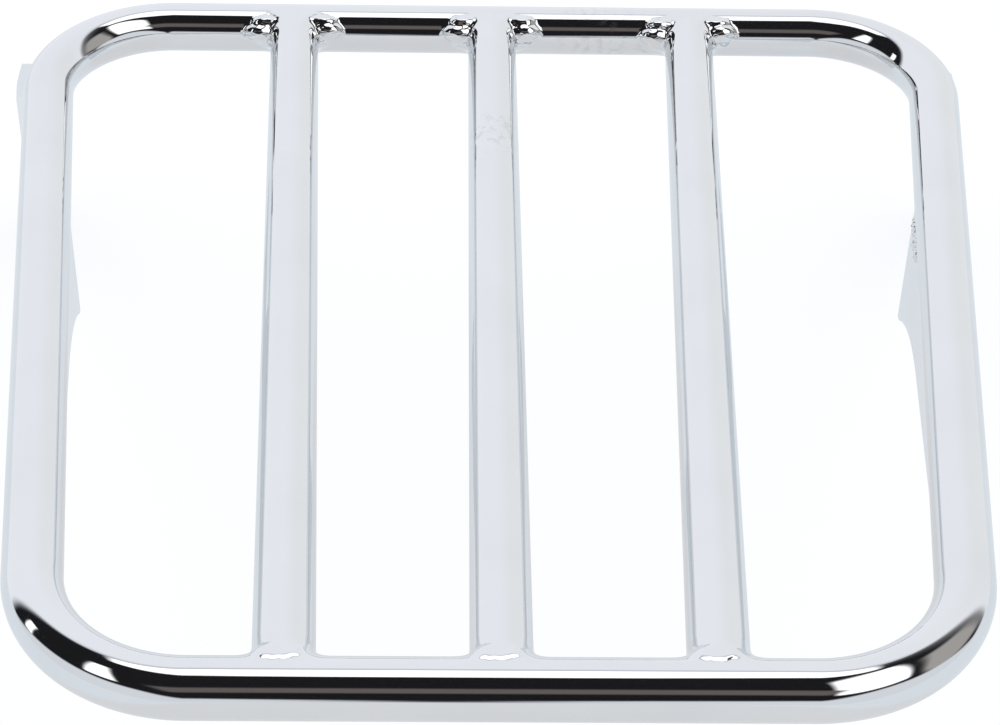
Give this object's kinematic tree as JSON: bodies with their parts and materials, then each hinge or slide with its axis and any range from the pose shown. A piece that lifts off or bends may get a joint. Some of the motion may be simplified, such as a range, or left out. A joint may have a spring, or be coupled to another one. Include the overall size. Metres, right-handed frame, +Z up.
{
  "type": "motorcycle luggage rack",
  "caption": "Tapered chrome-plated tube luggage rack for a motorcycle, with lengthwise bars and a bent bracket plate under each side rail that bolts to the backrest struts.",
  "frame": {"origin": "middle of the load deck, at the height of the tube tops, midway between the front and rear tubes", "axes": "+Y towards the wide front end that faces the backrest, +X to the rider's right, +Z up, square to the deck"},
  "size_m": [0.272, 0.2904, 0.0958],
  "materials": {
    "plated_tube": "bright chrome plate on polished steel tube",
    "plated_weld": "chrome plate over unground weld beads",
    "plated_sheet": "chrome plate on bent steel plate"
  },
  "bodies": {
    "root": {"frame_hoop": "plated_tube", "left_bar": "plated_tube", "centre_bar": "plated_tube", "right_bar": "plated_tube", "front_bar_welds": "plated_weld", "rear_bar_welds": "plated_weld", "left_bracket": "plated_sheet", "right_bracket": "plated_sheet", "left_bracket_welds": "plated_weld", "right_bracket_welds": "plated_weld"}
  },
  "joints": []
}
